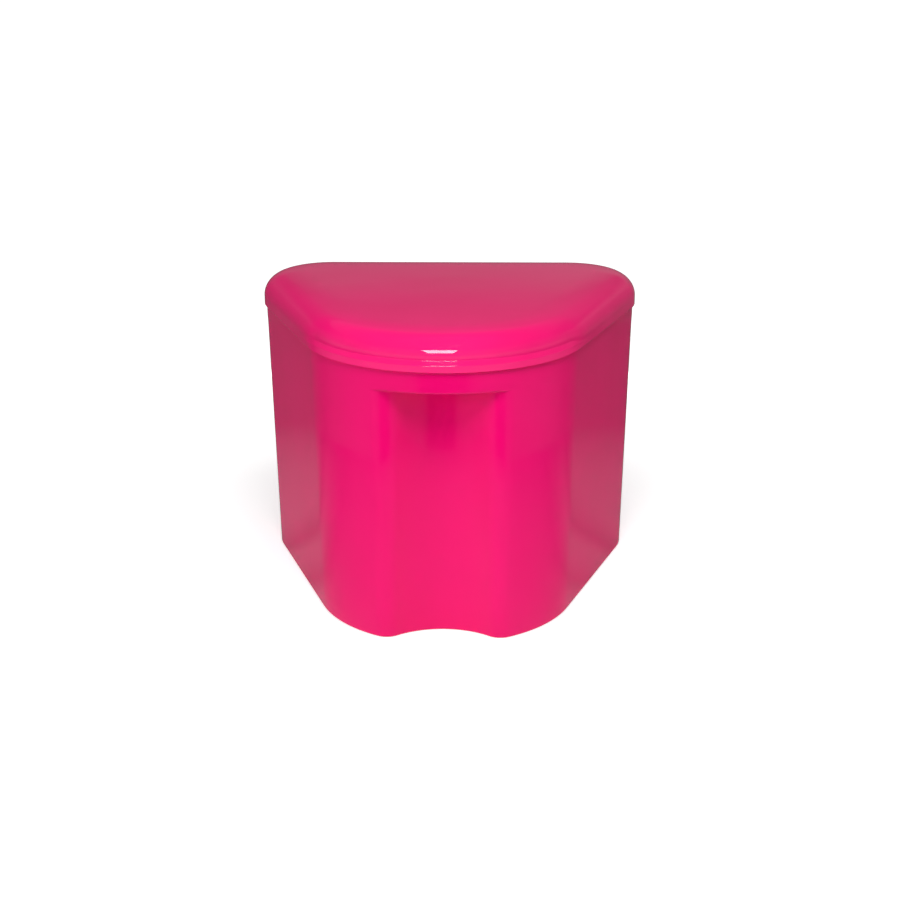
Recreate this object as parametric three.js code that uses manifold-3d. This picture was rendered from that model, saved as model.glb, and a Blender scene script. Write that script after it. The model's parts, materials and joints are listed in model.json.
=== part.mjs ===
// Denture case: a D-shaped tub with a thumb flute, a hinged domed lid and a lift-out strainer basket.
// Millimetres, +Z up, the flute at the front towards -Y and the hinge at the back towards +Y.
// The origin is on the surface the case stands on, under the middle of the box that holds the closed case.
import * as THREE from 'three';
import { mergeVertices } from 'three/addons/utils/BufferGeometryUtils.js';
import Module from 'manifold-3d';

const wasm = await Module();
wasm.setup();
const { Manifold, Mesh } = wasm;

// Overall sizes of the closed case
const caseWidth = 90;
const caseDepth = 80;
const caseHeight = 70;
const lidHeight = 7.7;
const seamGap = 0.3;

// The D seen from above, along the lid's widest line
const sideTaper = THREE.MathUtils.degToRad(20.6);
const backCornerRadius = 16.1;

// Thumb flute down the front, and the rim band that it stops under
const fluteDepth = 7.6;
const fluteRadius = 14.4;
const lobeRadius = 6.2;
const leastRadius = 0.2;
const bandHeight = 4.4;
const shelfThickness = 2;

// Tub walls
const lidOverhang = 0.55;
const bodyDraft = 1.3;
const wallThickness = 2.4;
const rimThickness = 1.2;
const rimRounding = 0.35;
const stepDrop = 6;
const floorThickness = 2.2;
const floorFillet = 2;
const bottomEdgeRadius = 1.2;
const footWidth = 2.4;
const footHeight = 0.8;
const footSlope = 0.4;

// Lid
const lidThickness = 2;
const skirtHeight = 2.9;
const skirtRounding = 0.3;
const domeRun = 5.3;
const innerDomeRun = 3.6;
const lipHeight = 2.3;
const lipEdgeHeight = 1.4;
const lipLean = 0.25;
const lipProud = 0.8;
const lipFadeReach = 19;
const plugDrop = 1.7;
const plugThickness = 1.2;
const plugClearance = 0.35;
const plugBackGap = 20;
const catchRadius = 0.25;
const catchWidth = 24;
const catchHeight = 0.8;

// Hinge at the back: two stations, each with two ears on the tub and a knuckle on the lid
const barrelRadius = 2.6;
const barrelClearance = 0.4;
const pinRadius = 1;
const pinClearance = 0.3;
const pinInset = 0.2;
const stationOffset = 18;
const knuckleWidth = 6;
const earWidth = 3;
const earSideGap = 0.4;
const earTopDrop = 2;
const earBottomDrop = 9;
const knuckleRootLow = 0.6;
const knuckleRootHigh = 2.9;

// Strainer basket
const basketDepth = 38;
const flangeClearance = 0.35;
const flangeSeatGap = 0.3;
const flangeThickness = 1.4;
const basketWallClearance = 0.6;
const basketDraft = 1;
const basketWall = 1.2;
const basketFillet = 1.6;
const wallSlotWidth = 2.4;
const wallSlotCount = 26;
const wallSlotFoot = 5;
const wallSlotTop = 9;
const floorSlotWidth = 2.6;
const floorSlotPitch = 6;
const floorRibWidth = 4;
const floorRibs = 3;
const floorMargin = 4;

// Bail of the basket, folded flat towards the front
const bailThickness = 2.4;
const bailWidth = 3;
const bailBevel = 0.5;
const bailWallGap = 1.2;
const bailFrontGap = 2.5;
const bailPivotY = 4;
const bailTail = 1.4;
const bailFlangeDrop = 1.8;
const pegRadius = 1.1;
const pegClearance = 0.3;
const pegRecess = 0.3;

// Cuts run past what they cut, joined shapes sink into each other, and corners this near are one corner
const overrun = 1;
const jointSink = 0.6;
const mergeDistance = 0.0001;

// How finely the curves are drawn
const cornerSteps = 8;
const turnSteps = 2;
const sideSteps = 3;
const frontSteps = 7;
const lobeSteps = 5;
const fluteSteps = 5;
const roundSteps = 4;
const domeSteps = 6;
const barrelSides = 20;
const beadSides = 96;

// Heights and places worked out from the sizes above
const halfWidth = caseWidth / 2;
const halfDepth = caseDepth / 2;
const seamHeight = caseHeight - lidHeight;
const rimHeight = seamHeight - seamGap;
const ledgeHeight = rimHeight - bandHeight;
const shelfHeight = ledgeHeight + shelfThickness;
const stepHeight = rimHeight - stepDrop;
const floorHeight = footHeight + floorThickness;
const hingeY = halfDepth + barrelClearance + barrelRadius;
const hingeZ = rimHeight;
const planShift = -(barrelClearance + 2 * barrelRadius) / 2;

const taperCos = Math.cos(sideTaper);
const taperSin = Math.sin(sideTaper);
const cornerX = halfWidth - backCornerRadius;
const cornerY = halfDepth - backCornerRadius;
const sideReach = cornerX * taperCos - cornerY * taperSin + backCornerRadius;
const frontRadius = (sideReach - halfDepth * taperSin) / (1 - taperSin);
const frontY = frontRadius - halfDepth;
const fluteY = fluteDepth - halfDepth - fluteRadius;

// Points along a circle between two angles, both ends included.
function arc(x, y, radius, from, to, steps) {
  const points = [];
  for (let i = 0; i <= steps; i += 1) {
    const angle = from + ((to - from) * i) / steps;
    points.push(new THREE.Vector2(x + radius * Math.cos(angle), y + radius * Math.sin(angle)));
  }
  return points;
}

// Where the lobe's round meets the front arc and the flute, for an outline that lies this far inside the lid's.
function lobeAt(inset) {
  const front = frontRadius - inset;
  const flute = fluteRadius + inset;
  const radius = Math.max(lobeRadius - inset, leastRadius);
  const apart = frontY - fluteY;
  const rise = (apart ** 2 + (flute + radius) ** 2 - (front - radius) ** 2) / (2 * apart);
  const x = Math.sqrt((flute + radius) ** 2 - rise ** 2);
  const y = fluteY + rise;
  return { front, flute, radius, x, y, frontAngle: Math.atan2(y - frontY, x), fluteAngle: Math.atan2(rise, x) };
}

// The right half of the outline, from the middle of the back to the middle of the front.
function halfOutline(inset, fluted) {
  const lobe = lobeAt(inset);
  const corner = backCornerRadius - inset;
  const points = [new THREE.Vector2(0, halfDepth - inset)];
  points.push(...arc(cornerX, cornerY, corner, Math.PI / 2, 0, cornerSteps));
  points.push(...arc(cornerX, cornerY, corner, 0, -sideTaper, turnSteps).slice(1));
  const sideStart = points.at(-1);
  const front = arc(0, frontY, lobe.front, -sideTaper, lobe.frontAngle, frontSteps);
  for (let i = 1; i < sideSteps; i += 1) points.push(sideStart.clone().lerp(front[0], i / sideSteps));
  points.push(...front);
  if (fluted) {
    const turn = lobe.fluteAngle - Math.PI;
    points.push(...arc(lobe.x, lobe.y, lobe.radius, lobe.frontAngle, turn, lobeSteps).slice(1));
    points.push(...arc(0, fluteY, lobe.flute, lobe.fluteAngle, Math.PI / 2, fluteSteps).slice(1));
  } else {
    const steps = lobeSteps + fluteSteps;
    points.push(...arc(0, frontY, lobe.front, lobe.frontAngle, -Math.PI / 2, steps).slice(1));
  }
  return points;
}

// A closed ring at one height: the right half, then its mirror image, clockwise seen from above.
function ring(inset, z, fluted = false) {
  const half = halfOutline(inset, fluted);
  const left = half.slice(1, -1).reverse().map((p) => new THREE.Vector2(-p.x, p.y));
  return [...half, ...left].map((p) => new THREE.Vector3(p.x, p.y, z));
}

// A three.js geometry as a solid: positions merged and faces that fell shut dropped.
function solidOf(geometry) {
  const bare = new THREE.BufferGeometry();
  bare.setAttribute('position', geometry.getAttribute('position'));
  if (geometry.index) bare.setIndex(geometry.index);
  const merged = mergeVertices(bare, mergeDistance);
  const corners = merged.index.array;
  const faces = [];
  for (let i = 0; i < corners.length; i += 3) {
    const [a, b, c] = corners.slice(i, i + 3);
    if (a !== b && b !== c && c !== a) faces.push(a, b, c);
  }
  const vertProperties = merged.attributes.position.array;
  return new Manifold(new Mesh({ numProp: 3, vertProperties, triVerts: new Uint32Array(faces) }));
}

// A skin through rings of equally many points. It is closed by a fan at each end, or ring to ring in a loop.
function loft(rings, looped = false) {
  const count = rings[0].length;
  const points = rings.flat();
  const faces = [];
  const bands = looped ? rings.length : rings.length - 1;
  for (let r = 0; r < bands; r += 1) {
    const next = (r + 1) % rings.length;
    for (let i = 0; i < count; i += 1) {
      const j = (i + 1) % count;
      const [a, b, c, d] = [r * count + i, r * count + j, next * count + j, next * count + i];
      faces.push(a, c, b, a, d, c);
    }
  }
  if (!looped) {
    const ends = [rings[0], rings.at(-1)];
    ends.forEach((end, which) => {
      const middle = points.push(new THREE.Vector3(0, 0, end[0].z)) - 1;
      const start = which * (rings.length - 1) * count;
      for (let i = 0; i < count; i += 1) {
        const j = (i + 1) % count;
        if (which === 0) faces.push(middle, start + i, start + j);
        else faces.push(middle, start + j, start + i);
      }
    });
  }
  const geometry = new THREE.BufferGeometry().setFromPoints(points);
  geometry.setIndex(faces);
  return solidOf(geometry);
}

// A named mesh from a finished solid.
function meshOf(name, solid, material) {
  const made = solid.getMesh();
  const geometry = new THREE.BufferGeometry();
  geometry.setAttribute('position', new THREE.BufferAttribute(new Float32Array(made.vertProperties), 3));
  geometry.setIndex(new THREE.BufferAttribute(new Uint32Array(made.triVerts), 1));
  const flat = geometry.toNonIndexed();
  flat.computeVertexNormals();
  const mesh = new THREE.Mesh(flat, material);
  mesh.name = name;
  return mesh;
}

// A block between two corners.
function block(low, high) {
  const size = new THREE.Vector3().subVectors(high, low);
  const middle = new THREE.Vector3().addVectors(low, high).multiplyScalar(0.5);
  return solidOf(new THREE.BoxGeometry(size.x, size.y, size.z).translate(middle.x, middle.y, middle.z));
}

// A round bar along X, centred on a point.
function barAlongX(radius, length, x, y, z) {
  const bar = new THREE.CylinderGeometry(radius, radius, length, barrelSides);
  return solidOf(bar.rotateZ(Math.PI / 2).translate(x, y, z));
}

// A plate of the given width across X, from an outline drawn in the YZ plane.
function plateAcrossX(outline, x, width) {
  const plate = new THREE.ExtrudeGeometry(new THREE.Shape(outline), { depth: width, bevelEnabled: false });
  const turned = new THREE.Matrix4().makeBasis(
    new THREE.Vector3(0, 1, 0),
    new THREE.Vector3(0, 0, 1),
    new THREE.Vector3(1, 0, 0),
  );
  return solidOf(plate.applyMatrix4(turned).translate(x - width / 2, 0, 0));
}

// How far the tub's outer wall lies inside the lid's outline at a height: the draft narrows it downwards.
function bodyInset(z) {
  return lidOverhang + bodyDraft * (1 - z / rimHeight);
}

// The barrel round the hinge axis with straight flanks to two points of the wall that carries it.
function barrelOutline(low, high) {
  const tangentAngle = (point, side) => {
    const dy = point.x - hingeY;
    const dz = point.y - hingeZ;
    return Math.atan2(dz, dy) + side * Math.acos(barrelRadius / Math.hypot(dy, dz));
  };
  const start = tangentAngle(low, 1);
  let end = tangentAngle(high, -1);
  while (end < start) end += 2 * Math.PI;
  return [high, low, ...arc(hingeY, hingeZ, barrelRadius, start, end, barrelSides)];
}

// The tub: one moulded shell, up the outside, over the rim and down the inside to its floor.
function makeBody() {
  const footInset = bodyInset(0) + bottomEdgeRadius;
  const rings = [
    ring(footInset + footWidth + footSlope, footHeight, true),
    ring(footInset + footWidth, 0, true),
  ];
  for (let i = 0; i <= roundSteps; i += 1) {
    const angle = (i / roundSteps) * (Math.PI / 2);
    const z = bottomEdgeRadius * (1 - Math.cos(angle));
    rings.push(ring(bodyInset(z) + bottomEdgeRadius * (1 - Math.sin(angle)), z, true));
  }
  rings.push(ring(bodyInset(ledgeHeight), ledgeHeight, true));
  rings.push(ring(bodyInset(ledgeHeight), ledgeHeight));
  rings.push(ring(bodyInset(rimHeight - rimRounding), rimHeight - rimRounding));
  rings.push(ring(lidOverhang + rimRounding, rimHeight));

  const rimInset = lidOverhang + rimThickness;
  rings.push(ring(rimInset, rimHeight));
  rings.push(ring(rimInset, shelfHeight));
  rings.push(ring(rimInset, shelfHeight, true));
  rings.push(ring(rimInset, stepHeight, true));
  rings.push(ring(bodyInset(stepHeight) + wallThickness, stepHeight, true));
  for (let i = 0; i <= roundSteps; i += 1) {
    const angle = (i / roundSteps) * (Math.PI / 2);
    const z = floorHeight + floorFillet * (1 - Math.sin(angle));
    rings.push(ring(bodyInset(z) + wallThickness + floorFillet * (1 - Math.cos(angle)), z, true));
  }

  let body = loft(rings);
  const wallY = (z) => halfDepth - bodyInset(z);
  const top = hingeZ - earTopDrop;
  const bottom = hingeZ - earBottomDrop;
  const low = new THREE.Vector2(wallY(bottom) - jointSink, bottom);
  const high = new THREE.Vector2(wallY(top) - jointSink, top);
  for (const side of [-1, 1]) {
    const station = side * stationOffset;
    const earOffset = knuckleWidth / 2 + earSideGap + earWidth / 2;
    for (const ear of [-1, 1]) {
      body = body.add(plateAcrossX(barrelOutline(low, high), station + ear * earOffset, earWidth));
    }
    const boreLength = knuckleWidth + 2 * (earSideGap + earWidth + overrun);
    body = body.subtract(barAlongX(pinRadius + pinClearance, boreLength, station, hingeY, hingeZ));
  }
  return body;
}

// How much of the front lip shows at a place: all of it at the front, fading out along the flat sides.
function lipShare(y) {
  return THREE.MathUtils.smoothstep(-y, 0, lipFadeReach);
}

// One ring of the lid's outside, between the plain skirt and the front lip.
function lidRing(plain, lipped) {
  const outer = ring(plain.inset, seamHeight + plain.rise);
  const inner = ring(lipped.inset, seamHeight + lipped.rise);
  return outer.map((point, i) => point.clone().lerp(inner[i], lipShare(ring(0, 0)[i].y)));
}

// The lid: a skirt that rolls out into a lip at the front, a round shoulder and a flat top, hollow below,
// with a plug wall that drops inside the tub's rim along the front and sides.
function makeLid() {
  const rings = [
    ring(lidThickness, seamHeight),
    ring(skirtRounding, seamHeight),
    ring(0, seamHeight + skirtRounding),
    lidRing({ inset: 0, rise: lipEdgeHeight }, { inset: lipLean, rise: lipEdgeHeight }),
  ];
  for (let i = 0; i <= domeSteps; i += 1) {
    const angle = (i / domeSteps) * (Math.PI / 2);
    const run = 1 - Math.cos(angle);
    const plain = { inset: domeRun * run, rise: skirtHeight + (lidHeight - skirtHeight) * Math.sin(angle) };
    const lipped = {
      inset: lipProud + (domeRun - lipProud) * run,
      rise: lipHeight + (lidHeight - lipHeight) * Math.sin(angle),
    };
    rings.push(lidRing(plain, lipped));
  }
  const outside = loft(rings);

  const ceiling = caseHeight - lidThickness;
  const hollowRings = [ring(lidThickness, seamHeight - overrun), ring(lidThickness, seamHeight + lipHeight)];
  for (let i = 1; i <= roundSteps; i += 1) {
    const angle = (i / roundSteps) * (Math.PI / 2);
    const z = seamHeight + lipHeight + (ceiling - seamHeight - lipHeight) * Math.sin(angle);
    hollowRings.push(ring(lidThickness + innerDomeRun * (1 - Math.cos(angle)), z));
  }
  const shell = outside.subtract(loft(hollowRings));

  const plugInset = lidOverhang + rimThickness + plugClearance;
  const plugRoot = lidThickness - jointSink;
  const plugRings = [
    ring(plugInset, seamHeight - plugDrop),
    ring(plugInset, seamHeight),
    ring(plugRoot, seamHeight),
    ring(plugRoot, seamHeight + lipEdgeHeight),
    ring(plugInset + plugThickness, seamHeight + lipEdgeHeight),
    ring(plugInset + plugThickness, seamHeight - plugDrop),
  ];
  const backOff = block(
    new THREE.Vector3(-halfWidth, halfDepth - plugBackGap, seamHeight - plugDrop - overrun),
    new THREE.Vector3(halfWidth, halfDepth, caseHeight),
  );
  const plug = loft(plugRings, true).subtract(backOff);

  // The catch is a half-round bead along the front of the plug.
  const beadRadius = frontRadius - plugInset;
  const beadZ = seamHeight - catchHeight;
  const bead = new THREE.LatheGeometry(arc(beadRadius, 0, catchRadius, 0, 2 * Math.PI, 2 * roundSteps), beadSides);
  const catchPiece = solidOf(bead.rotateX(Math.PI / 2).translate(0, frontY, beadZ)).intersect(block(
    new THREE.Vector3(-catchWidth / 2, -caseDepth, beadZ - overrun),
    new THREE.Vector3(catchWidth / 2, frontY, beadZ + overrun),
  ));

  let lid = shell.add(plug).add(catchPiece);
  const rootY = halfDepth - jointSink;
  const low = new THREE.Vector2(rootY, seamHeight + knuckleRootLow);
  const high = new THREE.Vector2(rootY, seamHeight + knuckleRootHigh);
  for (const side of [-1, 1]) {
    const station = side * stationOffset;
    lid = lid.add(plateAcrossX(barrelOutline(low, high), station, knuckleWidth));
    lid = lid.subtract(barAlongX(pinRadius + pinClearance, knuckleWidth + 2 * overrun, station, hingeY, hingeZ));
  }
  return lid;
}

function makePin(side) {
  const length = knuckleWidth + 2 * (earSideGap + earWidth - pinInset);
  return barAlongX(pinRadius, length, side * stationOffset, hingeY, hingeZ);
}

// Heights and insets of the basket, from the step that it hangs on
const flangeBottom = stepHeight + flangeSeatGap;
const flangeTop = flangeBottom + flangeThickness;
const basketBottom = flangeTop - basketDepth;
const flangeInset = lidOverhang + rimThickness + flangeClearance;
const basketInset = bodyInset(stepHeight) + wallThickness + basketWallClearance;
const bailZ = flangeBottom - bailFlangeDrop;

// How far the basket's outer wall lies inside the lid's outline at a height.
function basketWallInset(z) {
  return basketInset + (basketDraft * (flangeBottom - z)) / (flangeBottom - basketBottom);
}

// Upright slots at even steps round the basket's wall, each square to the wall where it cuts.
function wallSlots() {
  const path = ring(basketInset + basketWall / 2, 0, true);
  const walk = new THREE.CurvePath();
  path.forEach((point, i) => walk.add(new THREE.LineCurve3(point, path[(i + 1) % path.length])));
  const low = basketBottom + wallSlotFoot;
  const high = flangeBottom - wallSlotTop;
  let slots = null;
  for (let i = 0; i < wallSlotCount; i += 1) {
    const share = (i + 0.5) / wallSlotCount;
    const place = walk.getPointAt(share);
    const along = walk.getTangentAt(share);
    const cutter = new THREE.BoxGeometry(wallSlotWidth, 2 * (basketWall + basketDraft + overrun), high - low);
    cutter.rotateZ(Math.atan2(along.y, along.x)).translate(place.x, place.y, (low + high) / 2);
    slots = slots ? slots.add(solidOf(cutter)) : solidOf(cutter);
  }
  return slots;
}

// Slots through the basket's floor from front to back, kept inside its rounded edge and parted by cross ribs.
function floorSlots() {
  const inset = basketWallInset(basketBottom) + basketWall + floorMargin;
  const field = loft([
    ring(inset, basketBottom + basketWall + overrun, true),
    ring(inset, basketBottom - overrun, true),
  ].reverse());
  const perSide = Math.floor((halfWidth - inset) / floorSlotPitch);
  let slots = null;
  for (let i = -perSide; i <= perSide; i += 1) {
    const x = i * floorSlotPitch;
    const bar = block(
      new THREE.Vector3(x - floorSlotWidth / 2, -halfDepth, basketBottom - overrun),
      new THREE.Vector3(x + floorSlotWidth / 2, halfDepth, basketBottom + basketWall + overrun),
    );
    slots = slots ? slots.add(bar) : bar;
  }
  slots = slots.intersect(field);
  for (let i = 0; i < floorRibs; i += 1) {
    const y = THREE.MathUtils.lerp(-halfDepth, halfDepth, (i + 1) / (floorRibs + 1));
    slots = slots.subtract(block(
      new THREE.Vector3(-halfWidth, y - floorRibWidth / 2, basketBottom - 2 * overrun),
      new THREE.Vector3(halfWidth, y + floorRibWidth / 2, basketBottom + basketWall + 2 * overrun),
    ));
  }
  return slots;
}

// The basket: a flange on the tub's step, walls that follow the tub and its flute, and a slotted floor.
function makeBasket() {
  const rings = [];
  for (let i = 0; i <= roundSteps; i += 1) {
    const angle = (i / roundSteps) * (Math.PI / 2);
    const z = basketBottom + basketFillet * (1 - Math.cos(angle));
    rings.push(ring(basketWallInset(z) + basketFillet * (1 - Math.sin(angle)), z, true));
  }
  rings.push(ring(basketInset, flangeBottom, true));
  rings.push(ring(flangeInset, flangeBottom, true));
  rings.push(ring(flangeInset, flangeTop, true));
  rings.push(ring(basketInset + basketWall, flangeTop, true));
  for (let i = 0; i <= roundSteps; i += 1) {
    const angle = (i / roundSteps) * (Math.PI / 2);
    const radius = basketFillet - basketWall / 2;
    const z = basketBottom + basketWall + radius * (1 - Math.sin(angle));
    rings.push(ring(basketWallInset(z) + basketWall + radius * (1 - Math.cos(angle)), z, true));
  }
  const pegHoles = barAlongX(pegRadius + pegClearance, caseWidth, 0, bailPivotY, bailZ);
  return loft(rings).subtract(wallSlots()).subtract(floorSlots()).subtract(pegHoles);
}

// The bail: a flat strap bent to a U that follows the basket's sides and stops short of its flute, with a peg
// at each end. Its two bends leave the straight sides where the tub's front round does.
function makeBail() {
  const sideInset = basketWallInset(bailZ - bailThickness) + basketWall + bailWallGap;
  const sideLine = sideReach - sideInset;
  const frontLine = fluteDepth - halfDepth + basketWallInset(bailZ) + basketWall + bailFrontGap;
  const frontRound = frontRadius - sideInset;
  const followRadius = (frontY - frontRound * taperSin - frontLine) / (1 - taperSin);
  const bendRadius = Math.max(followRadius, bailWidth + leastRadius);
  const centreY = frontLine + bendRadius;
  const centreX = (sideLine - bendRadius + centreY * taperSin) / taperCos;
  const legEnd = (line) => (line + (bailPivotY + bailTail) * taperSin) / taperCos;
  const bend = (radius) => arc(centreX, centreY, radius, -sideTaper, -Math.PI / 2, 2 * roundSteps);
  const outside = [new THREE.Vector2(legEnd(sideLine), bailPivotY + bailTail), ...bend(bendRadius)];
  const inside = [
    ...bend(bendRadius - bailWidth).reverse(),
    new THREE.Vector2(legEnd(sideLine - bailWidth), bailPivotY + bailTail),
  ];
  const mirrored = (points) => points.map((p) => new THREE.Vector2(-p.x, p.y)).reverse();
  const outline = new THREE.Shape([...outside, ...mirrored(outside), ...mirrored(inside), ...inside]);
  const strap = new THREE.ExtrudeGeometry(outline, {
    depth: bailThickness - 2 * bailBevel,
    bevelThickness: bailBevel,
    bevelSize: bailBevel,
    bevelOffset: -bailBevel,
    bevelSegments: 1,
  });
  let bail = solidOf(strap.translate(0, 0, bailZ - bailThickness / 2 + bailBevel));
  const wallX = (sideReach - basketWallInset(bailZ) + bailPivotY * taperSin) / taperCos;
  const rootX = (sideLine - bailWidth / 2 + bailPivotY * taperSin) / taperCos;
  const length = wallX - pegRecess - rootX;
  for (const side of [-1, 1]) {
    bail = bail.add(barAlongX(pegRadius, length, side * (rootX + length / 2), bailPivotY, bailZ));
  }
  return bail;
}

// Finishes
const glossyPink = { roughness: 0.16, metalness: 0 };
const bodyPink = new THREE.MeshStandardMaterial({ color: 0xf01870, ...glossyPink });
const lidPink = new THREE.MeshStandardMaterial({ color: 0xf21c74, ...glossyPink });
const pinSteel = new THREE.MeshStandardMaterial({ color: 0xb9bcc0, roughness: 0.3, metalness: 1 });
const basketWhite = new THREE.MeshStandardMaterial({ color: 0xf2f0ee, roughness: 0.45, metalness: 0 });
const bailWhite = new THREE.MeshStandardMaterial({ color: 0xf4f2f0, roughness: 0.4, metalness: 0 });

const dentureCase = new THREE.Group();
dentureCase.add(meshOf('case_body', makeBody(), bodyPink));
dentureCase.add(meshOf('lid', makeLid(), lidPink));
dentureCase.add(meshOf('hinge_pin_left', makePin(-1), pinSteel));
dentureCase.add(meshOf('hinge_pin_right', makePin(1), pinSteel));
dentureCase.add(meshOf('strainer_basket', makeBasket(), basketWhite));
dentureCase.add(meshOf('basket_bail', makeBail(), bailWhite));
dentureCase.position.y = planShift;

export default dentureCase;
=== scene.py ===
# Looks of the denture case: a glossy pink tub with a thumb flute, its domed lid, a white slotted basket with
# a folding bail, and the steel hinge pins. Sizes in the dictionaries are millimetres, Blender gets metres.
import bmesh
import bpy
import json
import math
from mathutils import Matrix, Vector


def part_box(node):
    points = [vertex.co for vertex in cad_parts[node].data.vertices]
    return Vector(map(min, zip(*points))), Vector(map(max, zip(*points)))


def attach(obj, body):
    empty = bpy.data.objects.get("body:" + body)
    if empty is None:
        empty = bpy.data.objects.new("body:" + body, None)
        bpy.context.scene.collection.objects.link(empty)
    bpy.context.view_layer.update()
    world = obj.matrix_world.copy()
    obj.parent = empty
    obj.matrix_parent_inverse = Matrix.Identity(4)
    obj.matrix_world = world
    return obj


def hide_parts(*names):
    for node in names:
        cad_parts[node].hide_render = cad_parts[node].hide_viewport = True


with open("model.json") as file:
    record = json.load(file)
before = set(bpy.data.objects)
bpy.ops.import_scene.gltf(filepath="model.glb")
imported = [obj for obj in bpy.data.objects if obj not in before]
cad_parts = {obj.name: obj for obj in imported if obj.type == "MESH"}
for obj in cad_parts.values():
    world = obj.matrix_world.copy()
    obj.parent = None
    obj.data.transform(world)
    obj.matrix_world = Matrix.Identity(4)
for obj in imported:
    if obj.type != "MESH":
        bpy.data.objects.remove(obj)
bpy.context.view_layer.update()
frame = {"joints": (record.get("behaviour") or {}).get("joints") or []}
print("frame loaded")

metre = 0.001  # a millimetre in metres
turn = 2 * math.pi
quarter = math.pi / 2
lidHinge = next(j for j in frame["joints"] if j["name"] == "lid_hinge")
bailSwing = next(j for j in frame["joints"] if j["name"] == "bail_swing")
lidLow, lidHigh = [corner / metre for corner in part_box("lid")]
basketLow, basketHigh = [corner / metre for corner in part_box("strainer_basket")]
hingeY, hingeZ = lidHinge["pos_m"][1] / metre, lidHinge["pos_m"][2] / metre
bailY, bailZ = bailSwing["pos_m"][1] / metre, bailSwing["pos_m"][2] / metre

# The D-shaped plan of the case, seen from above along the lid's widest line
plan = {
    "hingeStandoff": 3.0,  # hinge axis behind the flat back
    "sideTaperDeg": 20.6,
    "backCornerRadius": 16.1,
    "fluteDepth": 7.6,
    "fluteRadius": 14.4,
    "lobeRadius": 6.2,
    "leastRadius": 0.2,
}
# Steps along each stretch of half the outline, and round a small edge
fineness = {
    "back": 10,
    "corner": 26,
    "turn": 6,
    "side": 12,
    "front": 34,
    "lobe": 22,
    "flute": 26,
    "round": 7,
}

halfWidth = lidHigh.x
backY = hingeY - plan["hingeStandoff"]
frontEnd = lidLow.y
halfDepth = (backY - frontEnd) / 2
middleY = (backY + frontEnd) / 2
taper = math.radians(plan["sideTaperDeg"])
cornerX = halfWidth - plan["backCornerRadius"]
cornerY = halfDepth - plan["backCornerRadius"]
sideReach = cornerX * math.cos(taper) - cornerY * math.sin(taper) + plan["backCornerRadius"]
frontRadius = (sideReach - halfDepth * math.sin(taper)) / (1 - math.sin(taper))
frontY = frontRadius - halfDepth
fluteY = plan["fluteDepth"] - halfDepth - plan["fluteRadius"]


def arcPoints(x, y, radius, start, end, steps):
    angles = [start + (end - start) * i / steps for i in range(steps + 1)]
    return [(x + radius * math.cos(a), y + radius * math.sin(a)) for a in angles]


def smoothShare(value, low, high):
    share = min(max((value - low) / (high - low), 0), 1)
    return share * share * (3 - 2 * share)


# The outline this far inside the lid's widest line, all round, with y counted from the middle of the depth
def outlineAt(inset, fluted):
    front, flute = frontRadius - inset, plan["fluteRadius"] + inset
    lobe = max(plan["lobeRadius"] - inset, plan["leastRadius"])
    apart = frontY - fluteY
    rise = (apart ** 2 + (flute + lobe) ** 2 - (front - lobe) ** 2) / (2 * apart)
    lobeX, lobeY = math.sqrt((flute + lobe) ** 2 - rise ** 2), fluteY + rise
    frontAngle = math.atan2(lobeY - frontY, lobeX)
    fluteAngle = math.atan2(rise, lobeX)
    corner = plan["backCornerRadius"] - inset
    half = [(cornerX * i / fineness["back"], halfDepth - inset) for i in range(fineness["back"])]
    half += arcPoints(cornerX, cornerY, corner, quarter, 0, fineness["corner"])
    half += arcPoints(cornerX, cornerY, corner, 0, -taper, fineness["turn"])[1:]
    frontArc = arcPoints(0, frontY, front, -taper, frontAngle, fineness["front"])
    x0, y0 = half[-1]
    for i in range(1, fineness["side"]):
        share = i / fineness["side"]
        half.append((x0 + (frontArc[0][0] - x0) * share, y0 + (frontArc[0][1] - y0) * share))
    half += frontArc
    if fluted:
        half += arcPoints(lobeX, lobeY, lobe, frontAngle, fluteAngle - math.pi, fineness["lobe"])[1:]
        half += arcPoints(0, fluteY, flute, fluteAngle, quarter, fineness["flute"])[1:]
    else:
        steps = fineness["lobe"] + fineness["flute"]
        half += arcPoints(0, frontY, front, frontAngle, -quarter, steps)[1:]
    return half + [(-x, y) for x, y in half[-2:0:-1]]


outlines = {}


def ring(inset, z, fluted=False):
    key = (round(inset, 5), fluted)
    if key not in outlines:
        outlines[key] = outlineAt(inset, fluted)
    return [Vector((x, y + middleY, z)) for x, y in outlines[key]]


# Faces between neighbouring rows of vertices, where each row goes all round, turned over where asked
def joinRows(mesh, rows, turnedOver=False):
    for one, two in zip(rows, rows[1:]):
        for i in range(len(one)):
            j = (i + 1) % len(one)
            second, last = (two[i], one[j]) if turnedOver else (one[j], two[i])
            mesh.faces.new((one[i], second, two[j], last))


# A closed skin over rings that have the same number of points
def loftMesh(rings):
    mesh = bmesh.new()
    rows = [[mesh.verts.new(point * metre) for point in points] for points in rings]
    joinRows(mesh, rows)
    mesh.faces.new(rows[0][::-1])
    mesh.faces.new(rows[-1])
    return mesh


def smoothShading(data, sharpDeg):
    for polygon in data.polygons:
        polygon.use_smooth = True
    data.set_sharp_from_angle(angle=math.radians(sharpDeg))


# For each kind of mesh, the degrees beyond which an edge stays sharp, and how near doubles lie
meshKinds = {
    "shell": (50, 0.004),
    "basket": (50, 0.002),
    "plate": (35, 0.0005),
    "turned": (40, 0.0005),
}
cutSharpDeg = 38


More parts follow.
